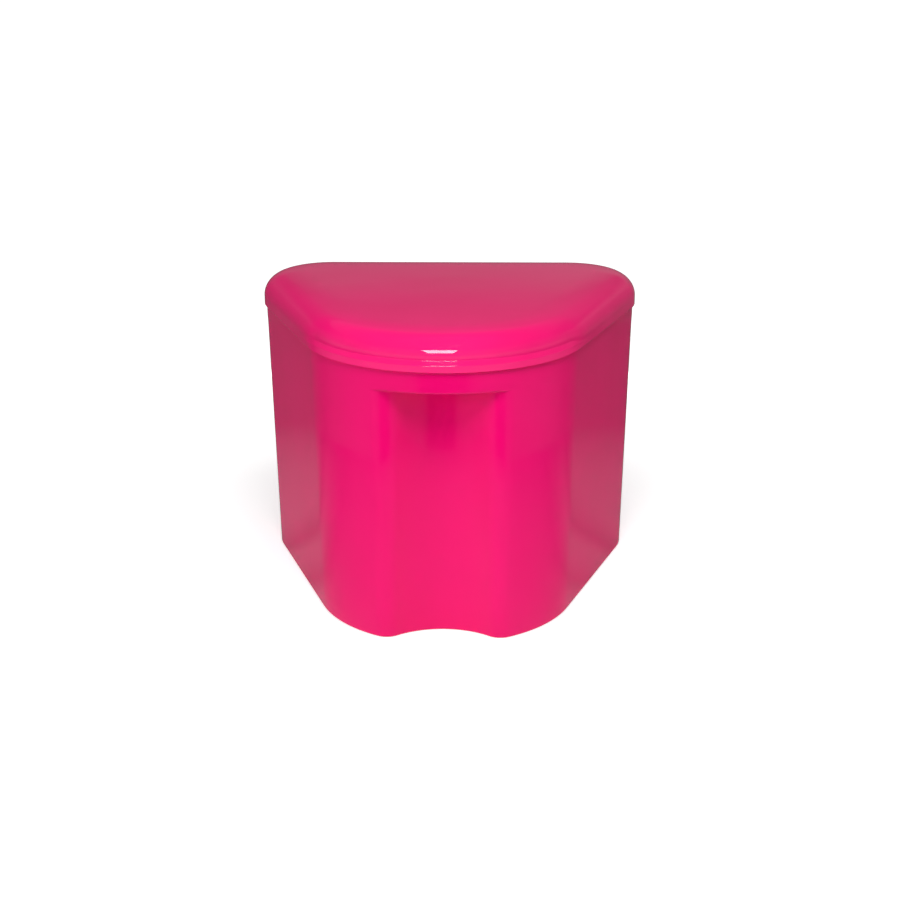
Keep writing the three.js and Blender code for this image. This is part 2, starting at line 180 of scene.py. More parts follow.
# A finished object from a bmesh: doubles merged, faces outward, smooth apart from sharp edges
def makeObject(name, mesh, kind):
    sharpDeg, mergeAt = meshKinds[kind]
    bmesh.ops.remove_doubles(mesh, verts=mesh.verts, dist=mergeAt * metre)
    bmesh.ops.recalc_face_normals(mesh, faces=mesh.faces)
    data = bpy.data.meshes.new(name)
    mesh.to_mesh(data)
    mesh.free()
    smoothShading(data, sharpDeg)
    made = bpy.data.objects.new(name, data)
    bpy.context.scene.collection.objects.link(made)
    return made


def finishPiece(piece, body, node, material):
    piece.data.materials.clear()
    piece.data.materials.append(material)
    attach(piece, body)
    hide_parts(node)


# The photograph's view, worked out from the case's outline and its seam line
camera = {
    "azimuthDeg": 1.58,
    "elevationDeg": 18.81,
    "rollDeg": -0.18,
    "distance": 370.5,
    "target": (0.700, -2.8, 32.173),
    "lens": 62.92,
    "sensor": 36.0,
    "clip": (0.01, 20),  # metres
}


def makeCamera():
    azimuth, elevation = math.radians(camera["azimuthDeg"]), math.radians(camera["elevationDeg"])
    back = Vector((
        math.sin(azimuth) * math.cos(elevation),
        -math.cos(azimuth) * math.cos(elevation),
        math.sin(elevation),
    ))
    data = bpy.data.cameras.new("photoCamera")
    data.lens, data.sensor_width = camera["lens"], camera["sensor"]
    data.clip_start, data.clip_end = camera["clip"]
    made = bpy.data.objects.new("photoCamera", data)
    bpy.context.scene.collection.objects.link(made)
    roll = Matrix.Rotation(math.radians(camera["rollDeg"]), 4, "Z")
    facing = (-back).to_track_quat("-Z", "Y").to_matrix().to_4x4()
    place = Vector(camera["target"]) + back * camera["distance"]
    made.matrix_world = Matrix.Translation(place * metre) @ facing @ roll
    bpy.context.scene.camera = made


makeCamera()
print("camera set")


# Noise in object space, in metres
def addNoise(nodes, links, coords, scale, detail=3, rough=0.5, stretch=(1, 1, 1)):
    mapping = nodes.new("ShaderNodeMapping")
    mapping.inputs["Scale"].default_value = stretch
    noise = nodes.new("ShaderNodeTexNoise")
    noise.inputs["Scale"].default_value = scale
    noise.inputs["Detail"].default_value = detail
    noise.inputs["Roughness"].default_value = rough
    links.new(coords.outputs["Object"], mapping.inputs["Vector"])
    links.new(mapping.outputs["Vector"], noise.inputs["Vector"])
    return noise.outputs["Fac"]


def addRamp(nodes, links, value, low, high, stops):
    ramp = nodes.new("ShaderNodeValToRGB")
    ramp.color_ramp.elements[0].position, ramp.color_ramp.elements[1].position = low, high
    ramp.color_ramp.elements[0].color, ramp.color_ramp.elements[1].color = [(*c, 1) for c in stops]
    links.new(value, ramp.inputs["Fac"])
    return ramp.outputs["Color"]


def addRange(nodes, links, value, fromLow, fromHigh, toLow, toHigh):
    ranged = nodes.new("ShaderNodeMapRange")
    limits = {"From Min": fromLow, "From Max": fromHigh, "To Min": toLow, "To Max": toHigh}
    for name, number in limits.items():
        ranged.inputs[name].default_value = number
    links.new(value, ranged.inputs["Value"])
    return ranged.outputs["Result"]


def addMath(nodes, links, operation, first, second):
    node = nodes.new("ShaderNodeMath")
    node.operation = operation
    for socket, value in zip(node.inputs, (first, second)):
        if isinstance(value, (int, float)):
            socket.default_value = value
        else:
            links.new(value, socket)
    return node.outputs[0]


def addBump(nodes, links, value, depth, below=None):
    bump = nodes.new("ShaderNodeBump")
    bump.inputs["Distance"].default_value = depth
    bump.inputs["Strength"].default_value = 1
    links.new(value, bump.inputs["Height"])
    if below:
        links.new(below, bump.inputs["Normal"])
    return bump.outputs["Normal"]


def newMaterial(name):
    material = bpy.data.materials.new(name)
    material.use_nodes = True
    nodes, links = material.node_tree.nodes, material.node_tree.links
    coords = nodes.new("ShaderNodeTexCoord")
    return material, nodes, links, coords, nodes["Principled BSDF"]


# Polished moulded plastic: a faint swirl in the colour, long shallow waves in the skin, and hairline rubs
pinkPlastic = {
    "pale": (0.96, 0.003, 0.178),
    "deep": (0.91, 0.002, 0.160),
    "ior": 1.46,
    "polish": (0.040, 0.075),
    "smearScale": 90,
    "rubbed": 0.03,
    "rubScale": 900,
    "swirlScale": 38,
    "waveScale": 60,
    "waveDepth": 0.00006,
    "grainScale": 1500,
    "grainDepth": 0.0000005,
}


def makePinkPlastic(name, shift, rubAlong):
    material, nodes, links, coords, shader = newMaterial(name)
    look = pinkPlastic
    swirl = addNoise(nodes, links, coords, look["swirlScale"], 4, 0.55, (1, 1, 0.6))
    stops = [[min(c * s, 1) for c, s in zip(look[k], shift)] for k in ("deep", "pale")]
    links.new(addRamp(nodes, links, swirl, 0.3, 0.7, stops), shader.inputs["Base Color"])
    smear = addNoise(nodes, links, coords, look["smearScale"], 5, 0.6)
    polish = addRange(nodes, links, smear, 0.35, 0.7, *look["polish"])
    rub = addNoise(nodes, links, coords, look["rubScale"], 2, 0.5, rubAlong)
    rubs = addRange(nodes, links, rub, 0.62, 0.78, 0, look["rubbed"])
    links.new(addMath(nodes, links, "ADD", polish, rubs), shader.inputs["Roughness"])
    wave = addNoise(nodes, links, coords, look["waveScale"], 1, 0.4)
    grain = addNoise(nodes, links, coords, look["grainScale"], 2, 0.5)
    waved = addBump(nodes, links, wave, look["waveDepth"])
    links.new(addBump(nodes, links, grain, look["grainDepth"], waved), shader.inputs["Normal"])
    shader.inputs["IOR"].default_value = look["ior"]
    return material


bodyPlastic = makePinkPlastic("bodyPinkPlastic", (1, 1, 1), (1, 1, 0.04))
lidPlastic = makePinkPlastic("lidPinkPlastic", (1.01, 1.15, 1.03), (0.04, 1, 1))
print("pink plastics made")

# The moulded tub, heights counted from the surface it stands on
tub = {
    "rimHeight": hingeZ,
    "lidOverhang": 0.55,
    "draft": 1.3,
    "wall": 2.4,
    "rimWall": 1.2,
    "rimRound": 0.12,
    "seamFill": 0.2,  # how far the rim rises into the gap under the lid, which is 0.3 wide in the CAD part
    "band": 4.4,
    "shelf": 2.0,
    "stepDrop": 6.0,
    "floor": 2.2,
    "floorFillet": 2.0,
    "bottomRound": 0.7,
    "footWidth": 2.4,
    "footHeight": 0.8,
    "footSlope": 0.4,
    "footRound": 0.25,
    "underRing": 6.0,
    "ledgeFillet": 0.7,
    "ledgeRound": 0.45,
    "insideRound": 0.4,
}


def tubInset(z):
    return tub["lidOverhang"] + tub["draft"] * (1 - z / tub["rimHeight"])


# The angles of a quarter round, for a loft's profile
def quarterSteps(steps=None):
    count = steps or fineness["round"]
    return [i / count * quarter for i in range(count + 1)]


# Rings across a flat shelf between two outlines, with a fillet where they start and a round where they end
def shelfRings(fromRing, toRing, z, up, hollow, full, mostShare=0.45):
    rings = []
    profile = [("hollow", a) for a in quarterSteps()] + [("full", a) for a in quarterSteps()]
    for part, angle in profile:
        points = []
        for p, q in zip(fromRing, toRing):
            across = Vector((q.x - p.x, q.y - p.y, 0))
            reach = across.length
            hollowHere, fullHere = min(hollow, reach * mostShare), min(full, reach * mostShare)
            if part == "hollow":
                run, rise = hollowHere * (1 - math.cos(angle)), -hollowHere * (1 - math.sin(angle))
            else:
                run, rise = reach - fullHere * (1 - math.sin(angle)), fullHere * (1 - math.cos(angle))
            flat = p + across * (run / reach if reach > 1e-6 else 0)
            points.append(Vector((flat.x, flat.y, z + up * rise)))
        rings.append(points)
    return rings


def makeTub():
    t = tub
    rim, ledge = t["rimHeight"], t["rimHeight"] - t["band"]
    shelf, step, floor = ledge + t["shelf"], rim - t["stepDrop"], t["footHeight"] + t["floor"]
    rim += t["seamFill"]
    foot = tubInset(0) + t["bottomRound"]
    rings = [ring(foot + t["footWidth"] + t["underRing"], t["footHeight"], True)]
    rings.append(ring(foot + t["footWidth"] + t["footSlope"] + t["footRound"], t["footHeight"], True))
    rings.append(ring(foot + t["footWidth"] + t["footSlope"], t["footHeight"] - t["footRound"] / 2, True))
    for a in quarterSteps(3):
        sink = t["footRound"] * (1 - math.sin(a))
        rings.append(ring(foot + t["footWidth"] - t["footRound"] * (1 - math.cos(a)), sink, True))
    for a in quarterSteps():
        z = t["bottomRound"] * (1 - math.cos(a))
        rings.append(ring(tubInset(z) + t["bottomRound"] * (1 - math.sin(a)), z, True))
    wallSteps = 14
    wallTop = ledge - t["ledgeFillet"]
    for i in range(1, wallSteps):
        z = t["bottomRound"] + (wallTop - t["bottomRound"]) * i / wallSteps
        rings.append(ring(tubInset(z), z, True))
    inset = tubInset(ledge)
    fluted, whole = ring(inset, ledge, True), ring(inset, ledge)
    rings += shelfRings(fluted, whole, ledge, 1, t["ledgeFillet"], t["ledgeRound"])
    outer, inner, r = t["lidOverhang"], t["lidOverhang"] + t["rimWall"], t["rimRound"]
    rings.append(ring(tubInset(rim - r), (ledge + rim) / 2))
    rings.append(ring(outer, rim - 2 * r))
    for a in quarterSteps():
        rings.append(ring(outer + r * (1 - math.cos(a)), rim - r * (1 - math.sin(a))))
    for a in reversed(quarterSteps(4)):
        rings.append(ring(inner - r * (1 - math.cos(a)), rim - r * (1 - math.sin(a))))
    r = t["insideRound"]
    rings += shelfRings(ring(inner, shelf), ring(inner, shelf, True), shelf, -1, r, r)
    rings.append(ring(inner, step + r, True))
    for a in quarterSteps(4):
        rings.append(ring(inner + r * (1 - math.cos(a)), step + r * (1 - math.sin(a)), True))
    wallInner = tubInset(step) + t["wall"]
    for a in reversed(quarterSteps(4)):
        rings.append(ring(wallInner - r * (1 - math.cos(a)), step - r * (1 - math.sin(a)), True))
    for i in range(1, wallSteps):
        z = step - r + (floor + t["floorFillet"] - step + r) * i / wallSteps
        rings.append(ring(tubInset(z) + t["wall"], z, True))
    for a in quarterSteps():
        z = floor + t["floorFillet"] * (1 - math.sin(a))
        rings.append(ring(tubInset(z) + t["wall"] + t["floorFillet"] * (1 - math.cos(a)), z, True))
    return makeObject("tubShell", loftMesh(rings), "shell")


finishPiece(makeTub(), "case", "case_body", bodyPlastic)
print("tub made")

# The lid: plain skirt round the back and sides, rolled lip at the front
lid = {
    "seam": hingeZ + 0.3,
    "seamCover": 0.15,  # how far the outer edge reaches down over the gap above the tub's rim
    "lipCover": -0.12,  # the same at the lip, which the front view sees from above
    "top": lidHigh.z,
    "wall": 2.0,
    "skirt": 2.0,
    "skirtRound": 0.12,
    "domeRun": 5.3,
    "innerDomeRun": 3.6,
    "lipHeight": 2.5,
    "lipEdge": 1.5,
    "lipLean": 0.24,
    "lipProud": 0.8,
    "lipRound": 0.06,
    "creaseRound": 0.10,
    "lipHoldShare": 0.05,  # an extra point this far up the lip's face keeps its shading straight
    "lipStart": 16.5,  # where the lip starts and is whole, in front of the middle of the depth
    "lipWhole": 24.0,
    "crownRun": 7.0,
    "crownDrop": 0.30,
    "plugDrop": 1.7,
    "plugWall": 1.2,
    "plugClearance": 0.35,
    "plugBackGap": 20.0,
    "plugRound": 0.3,
    "catchRadius": 0.25,
    "catchWidth": 24.0,
    "catchDrop": 0.8,
    "sunk": 0.6,
}


# Points of a polyline with its corners rounded, as (inset, rise) pairs
def roundedCorners(points, radii, steps=5):
    made = [points[0]]
    for before, corner, after, radius in zip(points, points[1:], points[2:], radii):
        p, q, r = Vector(before), Vector(corner), Vector(after)
        a, b = (p - q).normalized(), (r - q).normalized()
        for i in range(steps + 1):
            share = i / steps
            start, end = q + a * radius, q + b * radius
            made.append(tuple(start * (1 - share) ** 2 + q * 2 * share * (1 - share) + end * share ** 2))
    return made + [points[-1]]


# The round shoulder as part of an ellipse, then a crown that eases out into the flat top
def domeProfile(startInset, startRise, steps=22, crownSteps=9):
    d = lid
    full = d["top"] - d["seam"]
    width, height = d["domeRun"] - startInset, full - d["crownDrop"] - startRise
    slope, end = 3 * d["crownDrop"] / d["crownRun"], quarter
    for _ in range(4):
        across, up = width / (1 - math.cos(end)), height / math.sin(end)
        end = math.atan(up / (across * slope))
    across, up = width / (1 - math.cos(end)), height / math.sin(end)
    made = []
    for i in range(1, steps + 1):
        a = end * i / steps
        made.append((startInset + across * (1 - math.cos(a)), startRise + up * math.sin(a)))
    for i in range(1, crownSteps + 1):
        share = i / crownSteps
        made.append((d["domeRun"] + d["crownRun"] * share, full - d["crownDrop"] * (1 - share) ** 3))
    return made


def makeLid():
    d = lid
    lowEdges = []
    for cover in (d["seamCover"], d["lipCover"]):
        lowEdges.append([])
        for a in quarterSteps(5):
            low = d["skirtRound"] * (1 - math.cos(a)) - cover * (1 - a / quarter)
            lowEdges[-1].append((d["skirtRound"] * (1 - math.sin(a)), low))
    start, lipStart = lowEdges
    edge, crease = (d["lipLean"], d["lipEdge"]), (d["lipProud"], d["lipHeight"])
    after = (d["lipProud"], d["lipHeight"] + 2 * d["creaseRound"])
    turned = roundedCorners([lipStart[-1], edge, crease, after], (d["lipRound"], d["creaseRound"]))[1:]
    (x0, z0), (x1, z1) = lipStart[-1], turned[0]
    hold = d["lipHoldShare"]
    turned.insert(0, (x0 + (x1 - x0) * hold, z0 + (z1 - z0) * hold))
    low, steps = start[-1][1], len(turned)
    plainStart = [(0, low + (d["skirt"] - low) * (i + 1) / steps) for i in range(steps)]
    lipped = lipStart + turned + domeProfile(*turned[-1])
    plain = start + plainStart + domeProfile(0, d["skirt"])
    reference = ring(0, 0)
    shares = [smoothShare(middleY - p.y, d["lipStart"], d["lipWhole"]) for p in reference]
    outside = []
    for (inset1, rise1), (inset2, rise2) in zip(plain, lipped):
        one, two = ring(inset1, d["seam"] + rise1), ring(inset2, d["seam"] + rise2)
        outside.append([p.lerp(q, share) for p, q, share in zip(one, two, shares)])
    ceiling = d["top"] - d["wall"]
    base = d["seam"] + d["lipHeight"]
    inside = []
    for a in reversed(quarterSteps(12)):
        inset = d["wall"] + d["innerDomeRun"] * (1 - math.cos(a))
        inside.append(ring(inset, base + (ceiling - base) * math.sin(a)))
    inside.append(ring(d["wall"], d["seam"] + d["skirtRound"]))
    inside.append(ring(d["wall"] - d["skirtRound"] / 2, d["seam"]))
    inside.append(ring(d["skirtRound"] * 2, d["seam"]))
    return makeObject("lidShell", loftMesh(inside + outside), "shell")


finishPiece(makeLid(), "lid", "lid", lidPlastic)
print("lid made")


# A rib on the lid, swept along part of the outline: section is a closed list of (inset, z), stations are
# outline indices, and shrinkEnds is how many of them its ends take to grow to full size
def lidRib(section, stations, name, shrinkEnds=0):
    sides = [ring(inset, z) for inset, z in section]
    rows = []
    for n, station in enumerate(stations):
        points = [side[station] for side in sides]
        if shrinkEnds:
            middle = sum(points, Vector()) / len(points)
            share = min(n, len(stations) - 1 - n) / shrinkEnds
            grown = math.sqrt(max(1 - (1 - min(share, 1)) ** 2, 0.02))
            points = [middle.lerp(p, grown) for p in points]
        rows.append(points)
    finishPiece(makeObject(name, loftMesh(rows), "shell"), "lid", "lid", lidPlastic)


def plugSection():
    d = lid
    outer = tub["lidOverhang"] + tub["rimWall"] + d["plugClearance"]
    inner, low, high = outer + d["plugWall"], d["seam"] - d["plugDrop"], d["seam"] + d["lipEdge"]
    root = d["wall"] - d["sunk"]
    hanging = [(outer, d["seam"]), (outer, low), (inner, low), (inner, high)]
    rounded = roundedCorners(hanging, (d["plugRound"], d["plugRound"]))
    return [(root, high), (root, d["seam"])] + rounded, outer


def makePlugAndCatch():
    d = lid
    reference = ring(0, 0)
    count = len(reference)
    frontHalf = [i for i in range(count) if reference[i].y < backY - d["plugBackGap"]]
    section, outer = plugSection()
    lidRib(section, frontHalf, "lidPlug")
    beadZ = d["seam"] - d["catchDrop"]
    radius, circle = d["catchRadius"], [turn * i / 12 for i in range(12)]
    bead = [(outer - radius * math.cos(a), beadZ + radius * math.sin(a)) for a in circle]
    stations = [i for i in frontHalf if abs(ring(outer, 0)[i].x) <= d["catchWidth"] / 2]
    lidRib(bead, stations, "lidCatch", 4)


makePlugAndCatch()
print("lid plug and catch made")

# Hinge at the back: two stations, each with two ears on the tub and a knuckle on the lid
hinge = {
    "barrelRadius": 2.6,
    "boreRadius": 1.3,
    "pinRadius": 1.0,
    "pinInset": 0.2,
    "pinChamfer": 0.25,
    "stationOffset": 18.0,
    "knuckleWidth": 6.0,
    "earWidth": 3.0,
    "earSideGap": 0.4,
    "earTopDrop": 2.0,
    "earBottomDrop": 9.0,
    "rootLow": 0.6,
    "rootHigh": 2.9,
    "sunk": 0.6,
    "edgeRound": 0.3,
    "barrelSteps": 40,
}


# A flat plate with rounded edges, from a closed outline and holes in a plane, made by a filled curve
def platePiece(name, outlinesIn, thickness, edge, place, resolution=3):
    curve = bpy.data.curves.new(name, "CURVE")
    curve.dimensions, curve.fill_mode = "2D", "BOTH"
    curve.extrude = (thickness / 2 - edge) * metre
    curve.bevel_depth, curve.bevel_resolution = edge * metre, resolution
    curve.offset = -edge * metre
    for points in outlinesIn:
        spline = curve.splines.new("POLY")
        spline.points.add(len(points) - 1)
        for point, (a, b) in zip(spline.points, points):
            point.co = (a * metre, b * metre, 0, 1)
        spline.use_cyclic_u = True
    holder = bpy.data.objects.new(name, curve)
    data = bpy.data.meshes.new_from_object(holder)
    bpy.data.objects.remove(holder)
    mesh = bmesh.new()
    mesh.from_mesh(data)
    bmesh.ops.transform(mesh, matrix=place, verts=mesh.verts)
    return makeObject(name, mesh, "plate")


# Curve plane (a, b) becomes world (y, z), its thickness runs along x
def acrossX(x):
    return Matrix(((0, 0, 1, x * metre), (1, 0, 0, 0), (0, 1, 0, 0), (0, 0, 0, 1)))


def barrelOutline(low, high):
    radius = hinge["barrelRadius"]

    def tangentAngle(point, side):
        dy, dz = point[0] - hingeY, point[1] - hingeZ
        return math.atan2(dz, dy) + side * math.acos(radius / math.hypot(dy, dz))

    start, end = tangentAngle(low, 1), tangentAngle(high, -1)
    while end < start:
        end += turn
    return [high, low] + arcPoints(hingeY, hingeZ, radius, start, end, hinge["barrelSteps"])


def makeHinge():
    h = hinge
    bore = arcPoints(hingeY, hingeZ, h["boreRadius"], 0, turn, h["barrelSteps"])[:-1]
    bottom, top = hingeZ - h["earBottomDrop"], hingeZ - h["earTopDrop"]
    earLow = (backY - tubInset(bottom) - h["sunk"], bottom)
    earHigh = (backY - tubInset(top) - h["sunk"], top)
    root = backY - h["sunk"]
    knuckleLow, knuckleHigh = (root, lid["seam"] + h["rootLow"]), (root, lid["seam"] + h["rootHigh"])
    for side, word in ((-1, "Left"), (1, "Right")):
        station = side * h["stationOffset"]
        for n, ear in enumerate((-1, 1)):
            x = station + ear * (h["knuckleWidth"] / 2 + h["earSideGap"] + h["earWidth"] / 2)
            outline, name = barrelOutline(earLow, earHigh), f"hingeEar{word}{n + 1}"
            piece = platePiece(name, [outline, bore], h["earWidth"], h["edgeRound"], acrossX(x))
            finishPiece(piece, "case", "case_body", bodyPlastic)
        outline, name = barrelOutline(knuckleLow, knuckleHigh), f"lidKnuckle{word}"
        piece = platePiece(name, [outline, bore], h["knuckleWidth"], h["edgeRound"], acrossX(station))
        finishPiece(piece, "lid", "lid", lidPlastic)


makeHinge()
print("hinge ears and knuckles made")


# Rings of a turned piece that lies along x: profile is a list of (x, radius) from one end to the other
def turnedAlongX(profile, y, z, sides, name):
    rings = []
    for x, radius in profile:
        angles = [turn * i / sides for i in range(sides)]
        rings.append([Vector((x, y + radius * math.cos(a), z + radius * math.sin(a))) for a in angles])
    return makeObject(name, loftMesh(rings), "turned")


def makePins():
    h = hinge
    reach = h["knuckleWidth"] / 2 + h["earSideGap"] + h["earWidth"] - h["pinInset"]
    radius, cut = h["pinRadius"], h["pinChamfer"]
    for side, word in ((-1, "Left"), (1, "Right")):
        x = side * h["stationOffset"]
        half = [(-reach, radius - cut), (-reach + cut / 3, radius - cut / 3), (-reach + cut, radius)]
        profile = [(x + a, r) for a, r in half] + [(x - a, r) for a, r in reversed(half)]
        piece = turnedAlongX(profile, hingeY, hingeZ, 48, f"hingePin{word}")
        finishPiece(piece, "case", f"hinge_pin_{word.lower()}", pinSteel)


# Drawn stainless wire: fine lines along its length in the roughness and the bump
steelWire = {
    "colour": (0.60, 0.61, 0.63),
    "dull": (0.45, 0.455, 0.47),
    "polish": (0.20, 0.38),
    "lineScale": 2600,
    "lineDepth": 0.000008,
}


def makePinSteel():
    material, nodes, links, coords, shader = newMaterial("drawnPinSteel")
    look = steelWire
    lines = addNoise(nodes, links, coords, look["lineScale"], 3, 0.6, (0.03, 1, 1))
    tint = addRamp(nodes, links, lines, 0.3, 0.65, [look["dull"], look["colour"]])
    links.new(tint, shader.inputs["Base Color"])
    links.new(addRange(nodes, links, lines, 0.3, 0.7, *look["polish"]), shader.inputs["Roughness"])
    links.new(addBump(nodes, links, lines, look["lineDepth"]), shader.inputs["Normal"])
    shader.inputs["Metallic"].default_value = 1
    return material


# Satin white plastic: fine spark-eroded grain, a warm cast, and a trace of staining in patches
whitePlastic = {
    "clean": (0.80, 0.795, 0.775),
    "worn": (0.75, 0.735, 0.70),
    "ior": 1.49,
    "polish": (0.34, 0.48),
    "patchScale": 55,
    "smearScale": 160,
    "grainScale": 2400,
    "grainDepth": 0.000012,
    "depthShare": 0.08,  # how much light goes below the surface, and how far in metres
    "depthReach": (0.002, 0.0018, 0.0015),
}


def makeWhitePlastic(name, shift):
    material, nodes, links, coords, shader = newMaterial(name)
    look = whitePlastic
    patch = addNoise(nodes, links, coords, look["patchScale"], 5, 0.6)
    stops = [[c * s for c, s in zip(look[k], shift)] for k in ("worn", "clean")]
    links.new(addRamp(nodes, links, patch, 0.3, 0.55, stops), shader.inputs["Base Color"])
    smear = addNoise(nodes, links, coords, look["smearScale"], 4, 0.6)
    links.new(addRange(nodes, links, smear, 0.3, 0.7, *look["polish"]), shader.inputs["Roughness"])
    grain = addNoise(nodes, links, coords, look["grainScale"], 2, 0.6)
    links.new(addBump(nodes, links, grain, look["grainDepth"]), shader.inputs["Normal"])
    shader.inputs["IOR"].default_value = look["ior"]
    shader.inputs["Subsurface Weight"].default_value = look["depthShare"]
    shader.inputs["Subsurface Radius"].default_value = look["depthReach"]
    return material


pinSteel = makePinSteel()
basketPlastic = makeWhitePlastic("basketWhitePlastic", (1, 1, 1))
bailPlastic = makeWhitePlastic("bailWhitePlastic", (1.02, 1.02, 1.03))
makePins()
print("hinge pins made")

# The strainer basket, which hangs by its flange on the tub's step
basket = {
    "flangeInset": 2.1,
    "flange": 1.4,
    "flangeRound": 0.35,
    "wallGap": 0.6,
    "draft": 1.0,
    "wall": 1.2,
    "fillet": 1.6,
    "wallSlots": 26,
    "wallSlotWidth": 2.4,
    "wallSlotFoot": 5.0,
    "wallSlotTop": 9.0,
    "slotRound": 0.3,
    "cellMargin": 1.5,
    "cellAcross": 20,
    "cellDown": 14,
    "floorSlotWidth": 2.6,
    "floorSlotPitch": 6.0,
    "floorRib": 4.0,
    "floorRibs": 3,
    "floorMargin": 4.0,
    "floorRound": 0.25,
}
flangeBottom = basketHigh.z - basket["flange"]
basketBottom = basketLow.z
basketInset = tubInset(tub["rimHeight"] - tub["stepDrop"]) + tub["wall"] + basket["wallGap"]


def basketWallInset(z):
    return basketInset + basket["draft"] * (flangeBottom - z) / (flangeBottom - basketBottom)


# A place on the fluted outline, by a share of an index, so that every inset keeps the same stations
def outlinePoint(inset, index, z):
    points = ring(inset, z, True)
    low = math.floor(index)
    return points[low % len(points)].lerp(points[(low + 1) % len(points)], index - low)


# Index shares of the stations that lie at even steps round the middle of the basket's wall
def evenStations(count):
    points = ring(basketInset + basket["wall"] / 2, 0, True)
    reach = [0]
    for p, q in zip(points, points[1:] + points[:1]):
        reach.append(reach[-1] + (q - p).length)
    stations, n = [], 0
    for i in range(count):
        target = reach[-1] * i / count
        while reach[n + 1] < target:
            n += 1
        stations.append(n + (target - reach[n]) / (reach[n + 1] - reach[n]))
    return stations, reach


def indexAt(reach, distance):
    distance %= reach[-1]
    n = 0
    while reach[n + 1] < distance:
        n += 1
    return n + (distance - reach[n]) / (reach[n + 1] - reach[n])


# Boundary of one wall cell and of the long slot in its middle, point for point, as (along, z)
def cellRings(pitch, low, high):
    b = basket
    across, down = b["cellAcross"], b["cellDown"]
    half, bottom, top = pitch / 2, low - b["cellMargin"], high + b["cellMargin"]
    box = [(-half + pitch * i / across, top) for i in range(across)]
    box += [(half, top + (bottom - top) * i / down) for i in range(down)]
    box += [(half - pitch * i / across, bottom) for i in range(across)]
    box += [(-half, bottom + (top - bottom) * i / down) for i in range(down)]

    def slot(grow):
        radius = b["wallSlotWidth"] / 2 + grow
        upper, lower = high - b["wallSlotWidth"] / 2, low + b["wallSlotWidth"] / 2
        edge = [(-radius * math.cos(math.pi * i / across), upper + radius * math.sin(math.pi * i / across))
                for i in range(across)]
        edge += [(radius, upper + (lower - upper) * i / down) for i in range(down)]
        edge += [(radius * math.cos(math.pi * i / across), lower - radius * math.sin(math.pi * i / across))
                 for i in range(across)]
        return edge + [(-radius, lower + (upper - lower) * i / down) for i in range(down)]

    r, wall, shares = b["slotRound"], b["wall"], (0, 0.35, 0.7)
    rings = [(box, slot(r), share, 0) for share in shares]
    edges = [(slot(r * (1 - math.sin(a))), r * (1 - math.cos(a))) for a in quarterSteps(4)]
    rings += [(box, hole, 1, depth) for hole, depth in edges]
    rings += [(box, hole, 1, wall - depth) for hole, depth in reversed(edges)]
    rings += [(box, slot(r), share, wall) for share in reversed(shares)]
    return rings


def makeBasketWall():
    b = basket
    low, high = basketBottom + b["wallSlotFoot"], flangeBottom - b["wallSlotTop"]
    stations, reach = evenStations(b["wallSlots"] * b["cellAcross"])
    pitch = reach[-1] / b["wallSlots"]
    mesh = bmesh.new()
    for n in range(b["wallSlots"]):
        rows = []
        for box, slot, share, depth in cellRings(pitch, low, high):
            row = []
            for (a, c), (e, f) in zip(box, slot):
                along, z = a + (e - a) * share, c + (f - c) * share
                index = indexAt(reach, (n + 0.5) * pitch + along)
                row.append(mesh.verts.new(outlinePoint(basketWallInset(z) + depth, index, z) * metre))
            rows.append(row)
        joinRows(mesh, rows)
    lowEdge, highEdge = low - b["cellMargin"], high + b["cellMargin"]
    wall, edge, fillet = b["wall"], b["flangeRound"], b["fillet"]
    inner = fillet - wall / 2
    lower = [(basketWallInset(z), z) for z in (lowEdge, (lowEdge + basketBottom + fillet) / 2)]
    for a in reversed(quarterSteps()):
        z = basketBottom + fillet * (1 - math.cos(a))
        lower.append((basketWallInset(z) + fillet * (1 - math.sin(a)), z))
    joint = basketWallInset(basketBottom) + wall + inner + b["floorMargin"] / 4
    lower += [(joint, basketBottom), (joint, basketBottom + wall)]
    for a in quarterSteps():
        z = basketBottom + wall + inner * (1 - math.cos(a))
        lower.append((basketWallInset(z) + wall + inner * (1 - math.sin(a)), z))
    lower.append((basketWallInset(lowEdge) + wall, lowEdge))
    top, outer, upperInset = basketHigh.z, b["flangeInset"], basketWallInset(highEdge)
    corners = [(upperInset, highEdge), (basketInset, flangeBottom), (outer, flangeBottom), (outer, top)]
    corners += [(basketInset + wall, top), (upperInset + wall, highEdge)]
    upper = roundedCorners(corners, (edge, edge, edge, edge * 1.4), 4)
    for profile in (lower, upper):
        rows = []
        for inset, z in profile:
            rows.append([mesh.verts.new(outlinePoint(inset, s, z) * metre) for s in stations])
        joinRows(mesh, rows, turnedOver=True)
    return makeObject("basketShell", mesh, "basket"), joint


# How far a line of constant x reaches from front to back inside an outline
def reachAlongY(points, x):
    crossings = []
    for p, q in zip(points, points[1:] + points[:1]):
        if (p.x - x) * (q.x - x) < 0:
            crossings.append(p.y + (q.y - p.y) * (x - p.x) / (q.x - p.x))
    return (min(crossings), max(crossings)) if crossings else (0, 0)


